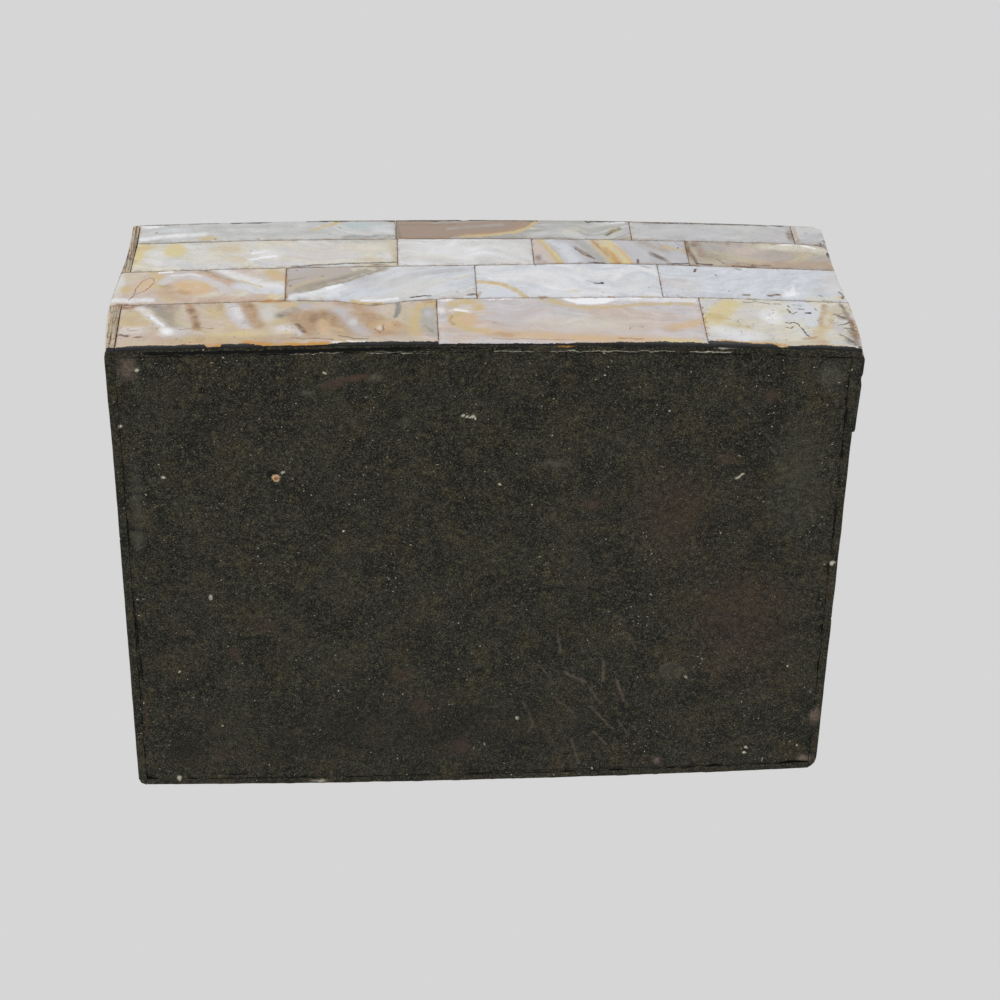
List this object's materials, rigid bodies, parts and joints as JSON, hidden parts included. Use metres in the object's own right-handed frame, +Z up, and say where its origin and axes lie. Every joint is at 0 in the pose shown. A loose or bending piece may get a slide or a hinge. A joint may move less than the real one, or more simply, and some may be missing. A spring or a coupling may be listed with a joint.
{
  "type": "shell box",
  "caption": "Rectangular lidded wooden box skinned with mother-of-pearl tiles in staggered courses, on a worn black base board.",
  "frame": {"origin": "middle of the footprint, on the surface that the box stands on", "axes": "+X along the length, to the right of the front; +Y towards the back; +Z up through the lid"},
  "size_m": [0.2012, 0.15, 0.0711],
  "materials": {
    "shell": "satin",
    "wood": "matte",
    "black_base": "satin"
  },
  "bodies": {
    "root": {"bottom_board": "black_base", "front_wall": "wood", "back_wall": "wood", "left_wall": "wood", "right_wall": "wood", "lid_board": "wood", "front_row1_tile1": "shell", "front_row1_tile2": "shell", "front_row1_tile3": "shell", "front_row2_tile1": "shell", "front_row2_tile2": "shell", "front_row2_tile3": "shell", "front_row2_tile4": "shell", "front_row3_tile1": "shell", "front_row3_tile2": "shell", "front_row3_tile3": "shell", "front_row3_tile4": "shell", "lid_front_tile1": "shell", "lid_front_tile2": "shell", "lid_front_tile3": "shell", "lid_front_tile4": "shell", "right_row1_tile1": "shell", "right_row1_tile2": "shell", "right_row1_tile3": "shell", "right_row2_tile1": "shell", "right_row2_tile2": "shell", "right_row3_tile1": "shell", "right_row3_tile2": "shell", "right_row3_tile3": "shell", "lid_right_tile1": "shell", "lid_right_tile2": "shell", "back_row1_tile1": "shell", "back_row1_tile2": "shell", "back_row1_tile3": "shell", "back_row2_tile1": "shell", "back_row2_tile2": "shell", "back_row2_tile3": "shell", "back_row2_tile4": "shell", "back_row3_tile1": "shell", "back_row3_tile2": "shell", "back_row3_tile3": "shell", "lid_back_tile1": "shell", "lid_back_tile2": "shell", "lid_back_tile3": "shell", "left_row1_tile1": "shell", "left_row1_tile2": "shell", "left_row2_tile1": "shell", "left_row2_tile2": "shell", "left_row2_tile3": "shell", "left_row3_tile1": "shell", "left_row3_tile2": "shell", "lid_left_tile1": "shell", "lid_left_tile2": "shell", "lid_top_row1": "shell", "lid_top_row2": "shell", "lid_top_row3": "shell", "lid_top_row4": "shell", "lid_top_row5": "shell", "lid_top_row6": "shell"}
  },
  "joints": []
}
